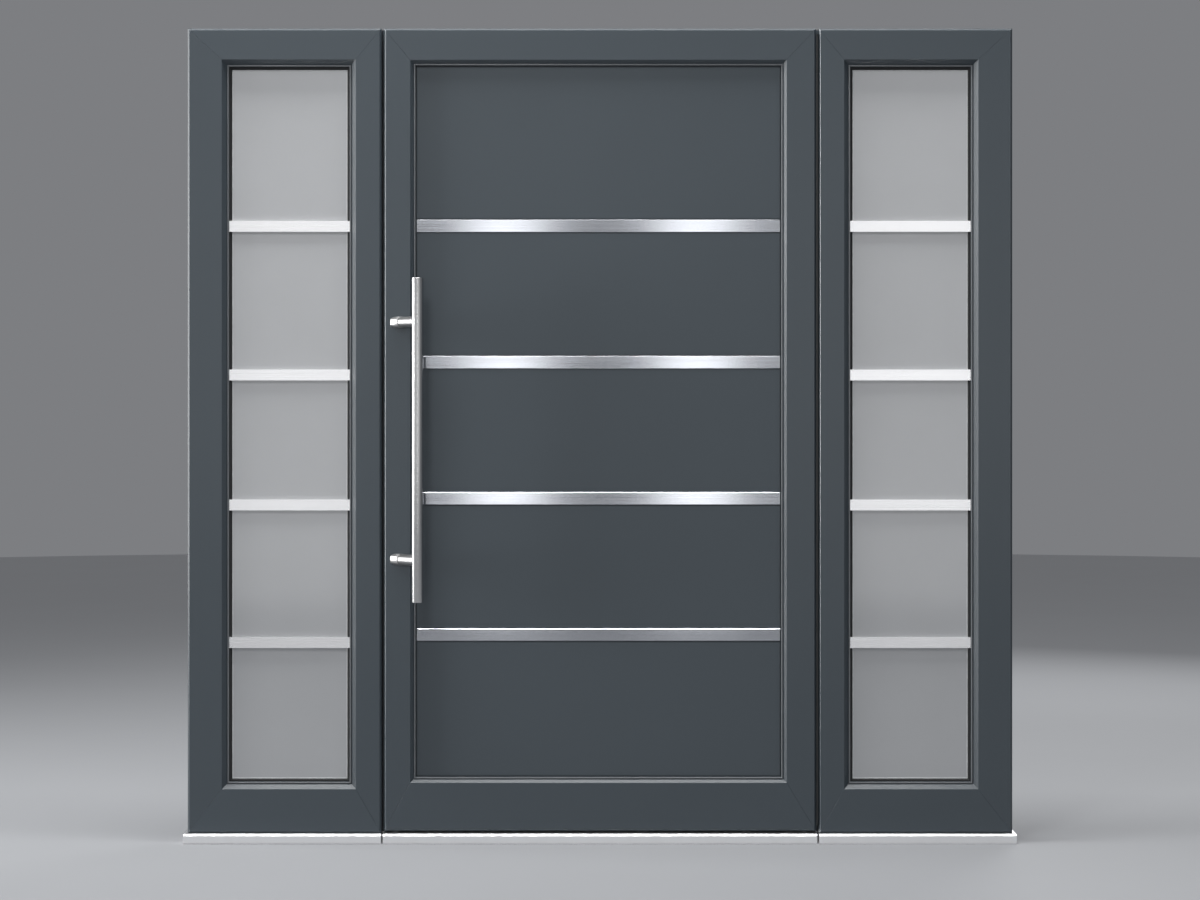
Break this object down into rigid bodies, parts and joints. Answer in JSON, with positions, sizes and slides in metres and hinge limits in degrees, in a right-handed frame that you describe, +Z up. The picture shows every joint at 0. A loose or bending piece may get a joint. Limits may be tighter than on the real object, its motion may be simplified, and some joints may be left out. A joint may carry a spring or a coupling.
{
  "type": "entrance door with two sidelights",
  "caption": "Aluminium entrance door with a flush hinged leaf, pull handle and steel strips, between two fixed glazed sidelights on a threshold.",
  "frame": {"origin": "centre of the width, on the flat underside of the door threshold, in the plane of the outer face", "axes": "+X to the right as seen from outside, +Y into the building, +Z up"},
  "size_m": [2.143, 0.2045, 2.1],
  "materials": {
    "frame_paint": "matt anthracite powder coat",
    "panel_paint": "matt anthracite powder coat on sheet",
    "satin_glass": "satin etched glass",
    "spacer_metal": "mill",
    "gasket_rubber": "matt",
    "brushed_steel": "brushed",
    "mill_aluminium": "satin anodised",
    "hinge_steel": "black coated steel"
  },
  "bodies": {
    "frame": {"door_head": "frame_paint", "door_threshold": "mill_aluminium", "frame_seal": "gasket_rubber", "hinge_frame_half": "hinge_steel", "hinge_jamb": "frame_paint", "hinge_pin": "hinge_steel", "latch_jamb": "frame_paint", "left_bottom_rail": "frame_paint", "left_gasket": "gasket_rubber", "left_glass": "satin_glass", "left_glass_bars": "brushed_steel", "left_glass_spacer": "spacer_metal", "left_inner_bead": "frame_paint", "left_inner_stile": "frame_paint", "left_outer_bead": "frame_paint", "left_outer_stile": "frame_paint", "left_threshold": "mill_aluminium", "left_top_rail": "frame_paint", "right_bottom_rail": "frame_paint", "right_gasket": "gasket_rubber", "right_glass": "satin_glass", "right_glass_bars": "brushed_steel", "right_glass_spacer": "spacer_metal", "right_inner_bead": "frame_paint", "right_inner_stile": "frame_paint", "right_outer_bead": "frame_paint", "right_outer_stile": "frame_paint", "right_threshold": "mill_aluminium", "right_top_rail": "frame_paint", "strike_plate": "brushed_steel"},
    "leaf": {"door_panel": "panel_paint", "hinge_leaf_half": "hinge_steel", "inside_backplate": "brushed_steel", "inside_lever": "brushed_steel", "leaf_bottom_rail": "frame_paint", "leaf_hinge_stile": "frame_paint", "leaf_inner_bead": "frame_paint", "leaf_latch_stile": "frame_paint", "leaf_outer_bead": "frame_paint", "leaf_top_rail": "frame_paint", "lock_faceplate": "brushed_steel", "lower_handle_post": "brushed_steel", "panel_strips": "brushed_steel", "pull_bar": "brushed_steel", "upper_handle_post": "brushed_steel"}
  },
  "joints": [
    {"name": "leaf_hinge", "type": "hinge", "parent": "frame", "child": "leaf", "pos_m": [0.5605, 0.003, 0], "axis": [0, 0, 1], "range_deg": [0, 100]}
  ]
}
